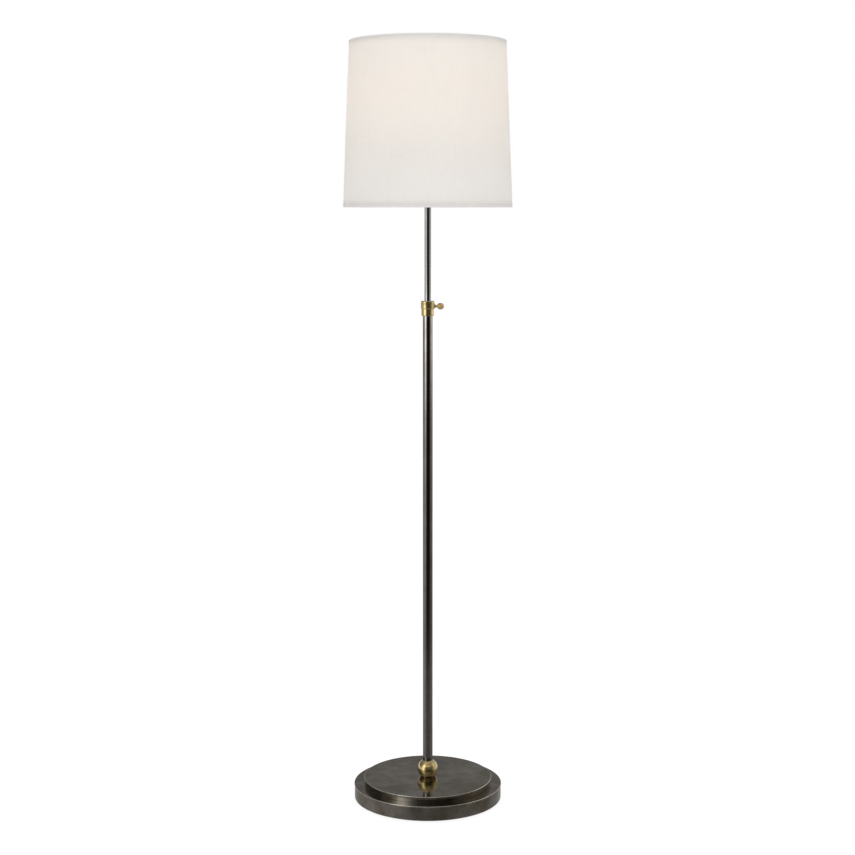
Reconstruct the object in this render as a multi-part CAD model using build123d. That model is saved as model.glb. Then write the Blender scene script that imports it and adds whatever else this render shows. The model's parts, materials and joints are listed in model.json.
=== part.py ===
"""An adjustable floor lamp: stepped base, brass ball, telescoping column, clamp collar and drum shade.

Millimetres, +Z up. The origin is the centre of the underside of the base, the column stands on +Z, the
thumbscrew points along +X, the switch knob along -Y and the cord inlet along +Y.
Every function below makes one separate piece, and the last section writes one STEP for each.
"""

import math
import os

from build123d import *

# ---------------------------------------------------------------- driving dimensions

# Base: two spun tiers over a cast weight, on a felt pad
FELT_R, FELT_TOP = 138.5, 2.0
LOWER_TIER_R, LOWER_TIER_TOP = 143.6, 29.6
UPPER_TIER_R, UPPER_TIER_TOP = 124.1, 41.4
TIER_WALL = 1.5
LIP_OVERHANG, LIP_HEIGHT = 0.8, 2.4
COVER_THICKNESS = 1.2
WEIGHT_R, WEIGHT_THICKNESS = 126.0, 15.0
SPACER_R = 40.0
COVER_SCREW_CIRCLE_R, COVER_SCREWS = 95.0, 4
INLET_HEIGHT, INLET_BORE_R = 9.5, 3.4

# Column
NIPPLE_R, NIPPLE_BORE_R = 5.0, 3.5
NIPPLE_HOLE_R = 5.4
BALL_R, BALL_FOOT_R = 20.0, 13.5
TUBE_R, TUBE_WALL = 9.525, 1.2
TUBE_SEAT_DEPTH = 4.0
TUBE_TOP = 954.0
ROD_R, ROD_WALL = 6.35, 1.0

# Clamp collar and thumbscrew
COLLAR_BOTTOM, COLLAR_STEP, COLLAR_JOINT, COLLAR_TOP = 942.2, 955.6, 965.0, 970.2
COLLAR_SLEEVE_R, COLLAR_BODY_R = 12.1, 13.2
SCREW_HEIGHT, SCREW_R, SCREW_PITCH = 960.2, 2.0, 0.8
THUMB_X, THUMB_R, THUMB_THICKNESS = 23.9, 6.9, 3.2
THUMB_TILT = 35.0  # degrees that its face looks up at rest
TIP_LENGTH = 2.2

# Telescoping rod: its place in the middle of the travel, and how far it still goes each way
TRAVEL_UP = 75.0
GUIDE_BOTTOM = 915.0
ROD_BOTTOM, ROD_TOP = 812.0, 1221.5
SADDLE_SEAT = 1226.0

# Harp and lampholder
SADDLE_THICKNESS = 1.6
EAR_INNER_X, EAR_TOP, EAR_WIDTH = 30.0, 1240.0, 4.4
HARP_WIRE_R, HARP_HALF_WIDTH, HARP_TOP = 1.7, 57.0, 1434.6
HARP_PLATE_THICKNESS = 2.4
SLEEVE_HEIGHT, SLEEVE_R, SLEEVE_BORE_R = 14.0, 4.4, 3.5
HOLDER_R, HOLDER_TOP = 17.2, 1293.0
SWITCH_HEIGHT = 1262.0
SHAFT_R = 1.5

# Bulb: standard 60 mm pear shape on a 26 mm screw cap
BULB_R, BULB_LENGTH = 30.0, 107.0
THREAD_PITCH = 3.6

# Shade
SHADE_BOTTOM, SHADE_TOP = 1145.9, 1451.0
SHADE_BOTTOM_R, SHADE_TOP_R = 158.6, 145.9
SHADE_THICKNESS = 1.2
HEM_HEIGHT, HEM_THICKNESS = 4.2, 0.4
RING_WIRE_R = 1.5
SPIDER_WASHER_R, SPIDER_WASHER_THICKNESS = 12.0, 1.5
SPIDER_ARMS = 3
FINIAL_TOP = 1461.5

# Clearances
FIT = 0.03  # between two fixed pieces that are pushed or screwed together
RUNNING = 0.05  # round a shaft or rod that moves

# ---------------------------------------------------------------- derived levels

COVER_TOP = FELT_TOP + COVER_THICKNESS
WEIGHT_TOP = LOWER_TIER_TOP - TIER_WALL
WEIGHT_BOTTOM = WEIGHT_TOP - WEIGHT_THICKNESS
BALL_CENTRE = UPPER_TIER_TOP + math.sqrt(BALL_R**2 - BALL_FOOT_R**2)
BALL_TOP = BALL_CENTRE + math.sqrt(BALL_R**2 - TUBE_R**2)
TUBE_BOTTOM = BALL_TOP - TUBE_SEAT_DEPTH
TUBE_BORE_R = TUBE_R - TUBE_WALL
ROD_BORE_R = ROD_R - ROD_WALL
RING_TOP = GUIDE_BOTTOM - TRAVEL_UP - 0.3
SADDLE_TOP = SADDLE_SEAT + SADDLE_THICKNESS
HARP_LEG_X = EAR_INNER_X + SADDLE_THICKNESS + 0.1 + HARP_WIRE_R
SLEEVE_X = EAR_INNER_X + 2.5
CONTACT_BASE = SWITCH_HEIGHT + 8.1
BULB_TIP = CONTACT_BASE + 2.4
BULB_TOP = BULB_TIP + BULB_LENGTH
STUD_SHOULDER_TOP = HARP_TOP + 3.7
WASHER_TOP = STUD_SHOULDER_TOP + SPIDER_WASHER_THICKNESS


def shade_radius(height):
    """Outer radius of the shade at a height."""
    share = (height - SHADE_BOTTOM) / (SHADE_TOP - SHADE_BOTTOM)
    return SHADE_BOTTOM_R + share * (SHADE_TOP_R - SHADE_BOTTOM_R)


# ---------------------------------------------------------------- helpers


def turned(*corners):
    """Solid turned about Z from corners (radius, height) or (radius, height, rounding)."""
    points = [(corner[0], 0, corner[1]) for corner in corners]
    roundings = [corner[2] if len(corner) > 2 else 0 for corner in corners]
    if any(roundings):
        outline = FilletPolyline(*points, radius=roundings, close=True)
    else:
        outline = Polyline(*points, close=True)
    return revolve(make_face(outline), Axis.Z)


def tube(outer_r, inner_r, bottom, top, edge=0.0):
    """Plain tube about Z, with its outer edges rounded by edge."""
    return turned((inner_r, bottom), (outer_r, bottom, edge), (outer_r, top, edge), (inner_r, top))


def bar(radius, start, end):
    """Round bar between two points."""
    line = Line(start, end)
    return sweep(Plane(origin=start, z_dir=line % 0) * Circle(radius), path=line)


def round_wire(radius, path):
    """Round wire along a path of lines and tangent arcs."""
    return sweep(Plane(origin=path @ 0, z_dir=path % 0) * Circle(radius), path=path)


def ridges(crest_r, root_r, bottom, pitch, count):
    """Outline points of a rolled thread, drawn as rounded rings: each is a crest between two roots."""
    points = []
    for turn in range(count):
        start = bottom + turn * pitch
        points.append((root_r, start, 0.3 * pitch))
        points.append((crest_r, start + 0.5 * pitch, 0.3 * pitch))
    points.append((root_r, bottom + count * pitch))
    return points


def fine_thread(crest_r, depth, bottom, top, pitch):
    """Outline points of a fine machine thread, drawn as rings, from bottom to top."""
    points = []
    for turn in range(round((top - bottom) / pitch)):
        start = bottom + turn * pitch
        points += [(crest_r - depth, start), (crest_r, start + 0.5 * pitch)]
    return points + [(crest_r - depth, top)]


def around(piece, count, radius):
    """Copies of a piece at equal steps on a circle about Z."""
    first_angle = 180 / count
    spots = [Rot(0, 0, first_angle + i * 360 / count) * Pos(radius, 0, 0) for i in range(count)]
    return [spot * piece for spot in spots]


def group(pieces):
    """Several separate solids as one node."""
    return Compound(children=[solid for piece in pieces for solid in piece.solids()])


# ---------------------------------------------------------------- base


def felt_pad():
    return Pos(0, 0, FELT_TOP / 2) * Cylinder(FELT_R, FELT_TOP)


def tier(radius, bottom, top):
    """Spun tier: a cap with a skirt and a small lip that overhangs the skirt."""
    wall_r = radius - LIP_OVERHANG
    inner_r = wall_r - TIER_WALL
    return turned(
        (NIPPLE_HOLE_R, top - TIER_WALL),
        (inner_r, top - TIER_WALL, 1.0),
        (inner_r, bottom),
        (wall_r, bottom, 0.4),
        (wall_r, top - LIP_HEIGHT, 0.6),
        (radius, top - LIP_HEIGHT + 0.5, 0.3),
        (radius, top, 0.9),
        (NIPPLE_HOLE_R, top),
    )


def lower_tier():
    inlet_hole_r = INLET_BORE_R + 2.1
    wall_centre = LOWER_TIER_R - LIP_OVERHANG - TIER_WALL / 2
    hole = Pos(0, wall_centre, INLET_HEIGHT) * Rot(90, 0, 0) * Cylinder(inlet_hole_r, 4 * TIER_WALL)
    return tier(LOWER_TIER_R, FELT_TOP, LOWER_TIER_TOP) - hole


def upper_tier():
    return tier(UPPER_TIER_R, LOWER_TIER_TOP, UPPER_TIER_TOP)


def tier_spacer():
    return tube(SPACER_R, NIPPLE_HOLE_R, LOWER_TIER_TOP, UPPER_TIER_TOP - TIER_WALL, 1.0)


def base_weight():
    """Cast disc with a drafted rim, and a tapped post for each cover screw."""
    draft = 2.0
    disc = turned(
        (NIPPLE_HOLE_R, WEIGHT_BOTTOM),
        (WEIGHT_R, WEIGHT_BOTTOM, 2.0),
        (WEIGHT_R - draft, WEIGHT_TOP, 2.0),
        (NIPPLE_HOLE_R, WEIGHT_TOP),
    )
    post_height = WEIGHT_BOTTOM - COVER_TOP + 1.0
    post = Pos(0, 0, COVER_TOP + post_height / 2) * Cone(8.0, 9.5, post_height)
    tapping = Pos(0, 0, COVER_TOP + 6.0) * Cylinder(2.0 + FIT, 12.0)
    for one in around(post, COVER_SCREWS, COVER_SCREW_CIRCLE_R):
        disc += one
    for one in around(tapping, COVER_SCREWS, COVER_SCREW_CIRCLE_R):
        disc -= one
    return disc


def base_cover():
    cover_r = LOWER_TIER_R - LIP_OVERHANG - TIER_WALL - 0.2
    plate = Pos(0, 0, FELT_TOP + COVER_THICKNESS / 2) * Cylinder(cover_r, COVER_THICKNESS)
    hole = Pos(0, 0, FELT_TOP + COVER_THICKNESS / 2) * Cone(4.1, 2.3, COVER_THICKNESS)
    for one in around(hole, COVER_SCREWS, COVER_SCREW_CIRCLE_R):
        plate -= one
    return plate


def cover_screws():
    """Countersunk M4 screws that hold the cover to the weight."""
    screw = turned(
        (0, FELT_TOP + 0.9),
        (0.9, FELT_TOP + 0.9),
        (0.9, FELT_TOP + 0.05),
        (3.9, FELT_TOP + 0.05),
        (2.0, COVER_TOP),
        (2.0, COVER_TOP + 10.0, 0.4),
        (0, COVER_TOP + 10.0),
    )
    return group(around(screw, COVER_SCREWS, COVER_SCREW_CIRCLE_R))


def cord_bushing():
    """Snap-in bushing that lines the cord inlet. It is turned on Z, then laid along +Y."""
    outside = LOWER_TIER_R - LIP_OVERHANG
    inside = outside - TIER_WALL
    body_r = INLET_BORE_R + 2.0
    bushing = turned(
        (INLET_BORE_R, inside - 4.0, 0.5),
        (body_r - 0.6, inside - 4.0),
        (body_r + 0.7, inside - 0.4),
        (body_r, inside - 0.4),
        (body_r, outside + 0.2),
        (body_r + 1.6, outside + 0.2, 0.4),
        (body_r + 1.2, outside + 1.8, 0.6),
        (INLET_BORE_R, outside + 1.8, 0.5),
    )
    return Pos(0, 0, INLET_HEIGHT) * Rot(-90, 0, 0) * bushing


def threaded_nipple():
    """Hollow rod that pulls the whole base together, threaded at each end."""
    bottom, top, threaded = WEIGHT_BOTTOM - 8.2, TUBE_BOTTOM + 20.0, 14.0
    outline = [(NIPPLE_BORE_R, bottom)]
    outline += fine_thread(NIPPLE_R, 0.45, bottom, bottom + threaded, 1.0)
    outline += fine_thread(NIPPLE_R, 0.45, top - threaded, top, 1.0)
    outline.append((NIPPLE_BORE_R, top))
    return turned(*outline)


def nipple_lock_washer():
    """Spring washer, split at one place."""
    washer = tube(9.0, NIPPLE_R + 0.2, WEIGHT_BOTTOM - 1.6, WEIGHT_BOTTOM, 0.2)
    return washer - Pos(7.0, 0, WEIGHT_BOTTOM - 0.8) * Rot(0, 35, 0) * Box(1.0, 8.0, 6.0)


def nipple_hex_nut():
    across_flats, height = 17.0, 5.0
    bottom = WEIGHT_BOTTOM - 1.6 - height
    nut = extrude(Pos(0, 0, bottom) * RegularPolygon(across_flats / 2, 6, major_radius=False), height)
    nut -= Pos(0, 0, bottom + height / 2) * Cylinder(NIPPLE_R + FIT, height)
    corner_r = across_flats / math.sqrt(3)
    return nut & turned(
        (0, bottom),
        (corner_r - 1.0, bottom),
        (corner_r + 0.5, bottom + 1.0),
        (corner_r + 0.5, bottom + height),
        (0, bottom + height),
    )


# ---------------------------------------------------------------- column


def brass_ball():
    """Ball with a flat foot, drilled for the nipple and counterbored for the tube."""
    ball = Pos(0, 0, BALL_CENTRE) * Sphere(BALL_R)
    ball -= Pos(0, 0, UPPER_TIER_TOP - BALL_R) * Cylinder(2 * BALL_R, 2 * BALL_R)
    ball -= Pos(0, 0, BALL_CENTRE) * Cylinder(NIPPLE_HOLE_R, 2 * BALL_R)
    seat = Pos(0, 0, TUBE_BOTTOM + BALL_R / 2) * Cylinder(TUBE_R + RUNNING, BALL_R)
    return ball - seat


def lower_tube():
    return tube(TUBE_R, TUBE_BORE_R, TUBE_BOTTOM, TUBE_TOP, 0.3)


def tube_bottom_plug():
    """Tapped plug fixed in the foot of the tube, which the nipple screws into."""
    return tube(TUBE_BORE_R - FIT, NIPPLE_R + FIT, TUBE_BOTTOM + 1.0, TUBE_BOTTOM + 22.0, 0.6)


def clamp_collar():
    """Collar over the end of the tube: sleeve, body, threaded spigot, and a boss for the thumbscrew."""
    bore_r = ROD_R + 0.15
    shoulder = TUBE_TOP + 1.1
    collar = turned(
        (TUBE_R + RUNNING, COLLAR_BOTTOM),
        (COLLAR_SLEEVE_R, COLLAR_BOTTOM, 1.0),
        (COLLAR_SLEEVE_R, COLLAR_STEP, 0.3),
        (COLLAR_BODY_R, COLLAR_STEP + 0.4, 0.7),
        (COLLAR_BODY_R, COLLAR_JOINT, 0.3),
        (10.4, COLLAR_JOINT, 0.2),
        (10.4, COLLAR_JOINT + 3.4, 0.4),
        (bore_r, COLLAR_JOINT + 3.4),
        (bore_r, shoulder),
        (TUBE_R + RUNNING, shoulder),
    )
    boss = Pos(14.0, 0, SCREW_HEIGHT) * Rot(0, 90, 0) * Cone(4.6, 3.0, 3.2)
    root = Pos(10.5, 0, SCREW_HEIGHT) * Rot(0, 90, 0) * Cylinder(4.4, 4.0)
    hole = Pos(12.0, 0, SCREW_HEIGHT) * Rot(0, 90, 0) * Cylinder(SCREW_R + RUNNING, 14.0)
    return collar + boss + root - hole


def collar_top_ring():
    """Ring nut that closes the collar round the rod."""
    spigot_r, spigot_top = 10.4 + FIT, COLLAR_JOINT + 3.5
    return turned(
        (spigot_r, COLLAR_JOINT + 0.1),
        (COLLAR_BODY_R, COLLAR_JOINT + 0.1, 0.4),
        (COLLAR_BODY_R, COLLAR_TOP, 1.7),
        (ROD_R + 0.2, COLLAR_TOP, 0.4),
        (ROD_R + 0.2, spigot_top),
        (spigot_r, spigot_top),
    )


def upper_guide_bush():
    """Plain bearing for the rod, in the top of the tube, with a flange on the tube's end."""
    return turned(
        (ROD_R + RUNNING, GUIDE_BOTTOM, 0.4),
        (TUBE_BORE_R - FIT, GUIDE_BOTTOM, 0.4),
        (TUBE_BORE_R - FIT, TUBE_TOP),
        (TUBE_R - 0.1, TUBE_TOP),
        (TUBE_R - 0.1, TUBE_TOP + 1.0),
        (ROD_R + RUNNING, TUBE_TOP + 1.0),
    )


def along_x(*corners):
    """Solid turned about the thumbscrew's axis, from corners (radius, distance from the column's axis)."""
    return Pos(0, 0, SCREW_HEIGHT) * Rot(0, 90, 0) * turned(*corners)


def clamp_tip():
    """Soft tip that presses on the rod, with a stub that the thumbscrew turns on."""
    face, back = ROD_R + RUNNING, ROD_R + TIP_LENGTH
    return along_x(
        (0, face),
        (SCREW_R - 0.1, face, 0.3),
        (SCREW_R - 0.1, back),
        (0.8, back),
        (0.8, back + 1.2),
        (0, back + 1.2),
    )


def thumbscrew():
    """Screw with a flat round head, dished on both faces."""
    thread_start = ROD_R + TIP_LENGTH + RUNNING
    socket_end = ROD_R + TIP_LENGTH + 1.4
    shank = [(0.85, socket_end), (0.85, thread_start)]
    shank += fine_thread(SCREW_R, 0.3, thread_start, thread_start + 6.4, SCREW_PITCH)
    shank += [(1.7, 15.9), (2.7, 16.1, 0.4), (2.0, 17.6, 1.0), (1.5, 20.0), (0, 20.0), (0, socket_end)]
    head = Rot(90, 0, 0) * Cylinder(THUMB_R, THUMB_THICKNESS)
    head = fillet(head.edges().filter_by(GeomType.CIRCLE), 1.0)
    dish_r, dish_depth = 26.0, 0.4
    for side in (-1, 1):
        head -= Pos(0, side * (THUMB_THICKNESS / 2 - dish_depth + dish_r), 0) * Sphere(dish_r)
    return along_x(*shank) + Pos(THUMB_X, 0, SCREW_HEIGHT) * Rot(-THUMB_TILT, 0, 0) * head


# ---------------------------------------------------------------- telescoping rod


def upper_rod():
    rod = tube(ROD_R, ROD_BORE_R, ROD_BOTTOM, ROD_TOP, 0.2)
    groove = tube(ROD_R + 1.0, ROD_R - 0.47, RING_TOP - 1.3, RING_TOP + 0.1)
    return rod - groove


def rod_retaining_ring():
    """Snap ring in the rod's groove: it holds the guide bush on, and stops the rod at full height."""
    ring = tube(7.6, ROD_R - 0.45, RING_TOP - 1.2, RING_TOP)
    return ring - Pos(8.0, 0, RING_TOP - 0.6) * Box(6.0, 3.0, 3.0)


def rod_guide_bush():
    """Plain bearing on the foot of the rod: it slides in the tube, and the rod turns in it."""
    return turned(
        (ROD_R + RUNNING, ROD_BOTTOM + 0.4, 0.3),
        (TUBE_BORE_R - 0.1, ROD_BOTTOM + 0.4, 0.6),
        (TUBE_BORE_R - 0.1, RING_TOP - 1.6, 0.6),
        (ROD_R + RUNNING, RING_TOP - 1.6, 0.3),
    )


def rod_end_plug():
    """Plug in the foot of the rod, rounded so that a lead isn't cut by the edge."""
    return turned(
        (3.6, ROD_BOTTOM - 2.0, 0.9),
        (7.6, ROD_BOTTOM - 2.0, 0.3),
        (7.6, ROD_BOTTOM),
        (ROD_BORE_R - FIT, ROD_BOTTOM),
        (ROD_BORE_R - FIT, ROD_BOTTOM + 12.0, 0.3),
        (3.6, ROD_BOTTOM + 12.0, 0.6),
    )


def rod_top_coupling():
    """Tapped coupling in the head of the rod, with a collar that carries the harp's saddle."""
    return turned(
        (NIPPLE_R + FIT, ROD_TOP - 16.0),
        (ROD_BORE_R - FIT, ROD_TOP - 16.0),
        (ROD_BORE_R - FIT, ROD_TOP),
        (8.4, ROD_TOP, 0.8),
        (8.4, SADDLE_SEAT, 0.4),
        (NIPPLE_R + FIT, SADDLE_SEAT),
    )


# ---------------------------------------------------------------- harp


def harp_saddle():
    """Bent strap under the lampholder, with an upright ear at each end for the harp's feet."""
    ear_outer_x = EAR_INNER_X + SADDLE_THICKNESS
    middle = SADDLE_SEAT + SADDLE_THICKNESS / 2
    strap = Pos(0, 0, middle) * Cylinder(10.5, SADDLE_THICKNESS)
    strap += Pos(0, 0, middle) * Box(2 * ear_outer_x, 2 * EAR_WIDTH, SADDLE_THICKNESS)
    for side in (-1, 1):
        for edge in (-1, 1):
            notch = Pos(side * ear_outer_x, edge * EAR_WIDTH, middle) * Box(10.0, EAR_WIDTH, 4.0)
            strap -= notch
        ear_height = EAR_TOP - SADDLE_SEAT
        ear_x = side * (EAR_INNER_X + SADDLE_THICKNESS / 2)
        strap += Pos(ear_x, 0, SADDLE_SEAT + ear_height / 2) * Box(SADDLE_THICKNESS, EAR_WIDTH, ear_height)
    return strap - Pos(0, 0, middle) * Cylinder(NIPPLE_R + 0.2, 2 * SADDLE_THICKNESS)


def harp_loop():
    """Wire loop that carries the shade, flattened and drilled at the top for the stud."""
    foot, knee, elbow, shoulder_x = SADDLE_TOP + 0.6, 1272.0, 1316.0, 16.0
    right = [
        (HARP_LEG_X, 0, foot),
        (HARP_LEG_X, 0, knee),
        (HARP_HALF_WIDTH, 0, elbow),
        (HARP_HALF_WIDTH, 0, HARP_TOP - 38.0),
        (shoulder_x, 0, HARP_TOP),
    ]
    left = [(-x, y, z) for x, y, z in reversed(right)]
    bends = [25.0, 40.0, 34.0, 20.0]
    path = FilletPolyline(*right, *left, radius=bends + bends[::-1])
    loop = round_wire(HARP_WIRE_R, path)
    loop += Pos(0, 0, HARP_TOP) * Cylinder(6.5, HARP_PLATE_THICKNESS)
    for side in (-1, 1):
        above_plate = HARP_TOP + side * (HARP_PLATE_THICKNESS / 2 + HARP_WIRE_R)
        loop -= Pos(0, 0, above_plate) * Cylinder(6.5, 2 * HARP_WIRE_R)
    return loop - Pos(0, 0, HARP_TOP) * Cylinder(2.1, 10.0)


def harp_stud():
    """Stud riveted to the harp: it takes the shade's spider and the finial."""
    plate_top = HARP_TOP + HARP_PLATE_THICKNESS / 2
    plate_bottom = HARP_TOP - HARP_PLATE_THICKNESS / 2
    rivet_r, neck_r, shoulder_r = 3.6, 2.0, 6.0
    outline = [(0, plate_bottom - 1.5), (rivet_r, plate_bottom - 1.5, 1.0), (rivet_r, plate_bottom)]
    outline += [(neck_r, plate_bottom), (neck_r, plate_top)]
    outline += [(shoulder_r, plate_top, 0.3), (shoulder_r, STUD_SHOULDER_TOP, 0.3)]
    outline += fine_thread(3.1, 0.4, STUD_SHOULDER_TOP, STUD_SHOULDER_TOP + 16.0, 1.0)
    return turned(*outline, (0, STUD_SHOULDER_TOP + 16.0))


def harp_sleeve(side):
    """Loose sleeve that locks one foot of the harp to its ear, and slides up to free it."""
    sleeve = tube(SLEEVE_R, SLEEVE_BORE_R, SADDLE_TOP + 0.4, SADDLE_TOP + 0.4 + SLEEVE_HEIGHT, 0.4)
    return Pos(side * SLEEVE_X, 0, 0) * sleeve


# ---------------------------------------------------------------- lampholder


def switch_hole(radius, depth):
    """Cutter from the front of the lampholder, on the switch's axis, down to a depth from the middle."""
    reach = HOLDER_R + 4.0
    length = reach - depth
    return Pos(0, -depth - length / 2, SWITCH_HEIGHT) * Rot(90, 0, 0) * Cylinder(radius, length)


def holder_nipple():
    """Short hollow nipple through the coupling, the saddle and the lampholder's cap."""
    bottom, top = ROD_TOP - 14.0, SADDLE_TOP + 9.0
    thread = fine_thread(NIPPLE_R, 0.45, bottom, top, 1.0)
    return turned((NIPPLE_BORE_R, bottom), *thread, (NIPPLE_BORE_R, top))


def holder_cap():
    """Domed cap of the lampholder, with a tapped hub."""
    wall, shoulder, top = 0.9, SADDLE_TOP + 13.0, SADDLE_TOP + 21.0
    return turned(
        (NIPPLE_R + FIT, SADDLE_TOP),
        (8.6, SADDLE_TOP, 0.8),
        (8.6, SADDLE_TOP + 3.6, 1.2),
        (HOLDER_R, shoulder, 5.0),
        (HOLDER_R, top, 0.3),
        (HOLDER_R - wall, top),
        (HOLDER_R - wall, shoulder + 0.4, 4.0),
        (9.4, SADDLE_TOP + 6.2),
        (NIPPLE_R + FIT, SADDLE_TOP + 6.2),
    )


def holder_shell():
    """Cylindrical shell with a rolled bead near its mouth and a hole for the switch."""
    outer, inner, bead = HOLDER_R - 1.0, HOLDER_R - 1.7, HOLDER_TOP - 5.0
    shell = turned(
        (inner, SADDLE_TOP + 14.4),
        (outer, SADDLE_TOP + 14.4),
        (outer, bead - 1.6, 0.5),
        (outer + 0.8, bead, 0.6),
        (outer, bead + 1.6, 0.5),
        (outer, HOLDER_TOP, 0.3),
        (inner, HOLDER_TOP),
    )
    return shell - switch_hole(3.0, HOLDER_R / 2)


def holder_liner():
    """Insulating sleeve that stands a little out of the shell."""
    liner = tube(HOLDER_R - 1.8, HOLDER_R - 2.5, SADDLE_TOP + 15.0, HOLDER_TOP + 2.0, 0.2)
    return liner - switch_hole(3.2, HOLDER_R / 2)


def holder_body():
    """Moulded block that holds the contacts and the switch."""
    bottom, top = SADDLE_TOP + 15.0, SWITCH_HEIGHT + 8.0
    block = tube(HOLDER_R - 2.6, 1.4, bottom, top, 0.6)
    block -= Pos(0, 0, SWITCH_HEIGHT) * Box(11.0, 11.0, 9.0)
    return block - switch_hole(SHAFT_R + RUNNING, 0)


def terminal_screws():
    """Two wire clamping screws under the moulded block, threaded up into it."""
    bottom = SADDLE_TOP + 15.0
    screw = turned((0, bottom - 2.2), (2.5, bottom - 2.2, 0.4), (2.5, bottom), (0, bottom))
    slot = Pos(0, 0, bottom - 2.0) * Box(6.0, 0.7, 1.2)
    return group([Pos(x, 0, 0) * (screw - slot) for x in (-8.0, 8.0)])


def screw_shell():
    """Rolled metal thread that the bulb screws into, with a floor round the centre contact."""
    bottom, wall = CONTACT_BASE, 0.4
    outer = ridges(14.3, 13.75, bottom + 5.0, THREAD_PITCH, 4)
    inner = [(r - wall, z, *rest) for r, z, *rest in reversed(outer)]
    return turned(
        (4.6, bottom),
        (13.75, bottom, 0.8),
        *outer,
        (13.9, outer[-1][1] + 1.6),
        (13.9 - wall, outer[-1][1] + 1.6),
        *inner,
        (13.75 - wall, bottom + wall, 0.5),
        (4.6, bottom + wall),
    )


def centre_contact():
    """Sprung contact under the bulb's tip."""
    bottom = CONTACT_BASE
    return turned(
        (0, bottom),
        (3.4, bottom),
        (3.4, bottom + 0.8, 0.3),
        (1.6, BULB_TIP, 0.4),
        (0, BULB_TIP),
    )


def switch_shaft():
    """Shaft of the rotary switch, with its cam in the moulded block's cavity."""
    shaft = bar(SHAFT_R, (0, 4.4, SWITCH_HEIGHT), (0, -26.0, SWITCH_HEIGHT))
    cam = Pos(0, 0, SWITCH_HEIGHT) * Rot(90, 0, 0) * extrude(RegularPolygon(3.2, 4), 3.0, both=True)
    return shaft + cam


def switch_knob():
    """Turn key on the switch's shaft: a round hub that narrows to a flat paddle."""
    hub_start, hub_end, tip = HOLDER_R + 2.6, HOLDER_R + 7.0, HOLDER_R + 17.0
    hub_length, paddle_length, paddle_width = hub_end - hub_start, tip - hub_end + 2.0, 13.0
    hub = Pos(0, -(hub_start + hub_end) / 2, SWITCH_HEIGHT) * Rot(90, 0, 0) * Cone(4.6, 3.6, hub_length)
    middle = (0, -(hub_end + tip) / 2, SWITCH_HEIGHT)
    paddle_plane = Plane(origin=middle, x_dir=(0, 1, 0), z_dir=(1, 0, 0))
    paddle = extrude(paddle_plane * RectangleRounded(paddle_length, paddle_width, 4.0), 1.7, both=True)
    paddle = fillet(paddle.edges().group_by(SortBy.LENGTH)[-1], 0.8)
    bore = bar(SHAFT_R + FIT, (0, -hub_start + 1.0, SWITCH_HEIGHT), (0, -26.1, SWITCH_HEIGHT))
    return hub + paddle - bore


# ---------------------------------------------------------------- bulb


def bulb_cap():
    """Screw cap, with its rolled thread drawn as rings."""
    start, wall = BULB_TIP + 5.0, 0.3
    outer = ridges(13.1, 12.5, start, THREAD_PITCH, 4)
    skirt = outer[-1][1]
    inner = [(r - wall, z, *rest) for r, z, *rest in reversed(outer)]
    return turned(
        (8.6, start - 2.2),
        (12.2, start - 1.0, 0.8),
        *outer,
        (12.9, skirt + 2.4, 0.6),
        (12.9, skirt + 6.6),
        (12.9 - wall, skirt + 6.6),
        (12.9 - wall, skirt + 2.4, 0.4),
        *inner,
        (12.2 - wall, start - 1.0 + wall, 0.5),
        (8.6, start - 2.2 + wall),
    )


def bulb_insulator():
    start, top = BULB_TIP + 0.8, BULB_TIP + 3.6
    return turned((0, start), (4.2, start, 0.4), (8.5, top - 0.8), (8.5, top), (0, top))


def bulb_contact():
    return turned((0, BULB_TIP), (2.6, BULB_TIP, 0.5), (3.6, BULB_TIP + 0.7), (0, BULB_TIP + 0.7))


def bulb_body(inset):
    """Pear shape of the bulb, drawn in by an inset: a neck, a flare and a round dome."""
    centre, neck = BULB_TOP - BULB_R, BULB_TIP + 22.6
    neck_r, dome_r = 12.5 - inset, BULB_R - inset
    waist = (19.6 - inset, 0, centre - 26.0)
    flare = Spline((neck_r, 0, neck + 6.0), waist, (dome_r, 0, centre), tangents=[(0, 0, 1), (0, 0, 1)])
    mid = math.sqrt(0.5) * dome_r
    dome = ThreePointArc((dome_r, 0, centre), (mid, 0, centre + mid), (0, 0, centre + dome_r))
    sides = Polyline((0, 0, centre + dome_r), (0, 0, neck), (neck_r, 0, neck), (neck_r, 0, neck + 6.0))
    return revolve(make_face(flare + dome + sides), Axis.Z)


def bulb_glass():
    floor = Pos(0, 0, BULB_TIP + 22.6) * Cylinder(12.5 - 0.8, 4.0)
    return bulb_body(0.0) - bulb_body(0.8) - floor


def bulb_stem():
    """Glass mount that seals the neck and carries the filament's leads."""
    foot = BULB_TIP + 24.7
    top = foot + 30.0
    return turned(
        (0, foot),
        (11.4, foot),
        (11.4, foot + 0.8),
        (4.0, foot + 6.0, 3.0),
        (2.4, top, 1.0),
        (0, top),
    )


def bulb_filament():
    """Two leads and the coiled filament between them, drawn as one fine wire."""
    foot, reach = BULB_TIP + 54.4, 13.0
    lead, coil = 0.4, 0.6
    ends = [(side * reach, 0, foot + 16.0) for side in (-1, 1)]
    wires = [bar(lead, (side * 1.2, 0, foot), end) for side, end in zip((-1, 1), ends)]
    arc = ThreePointArc(ends[0], (0, 0, foot + 19.0), ends[1])
    wires.append(round_wire(coil, arc))
    return wires[0] + wires[2] + wires[1] - bulb_stem()


# ---------------------------------------------------------------- shade


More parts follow.
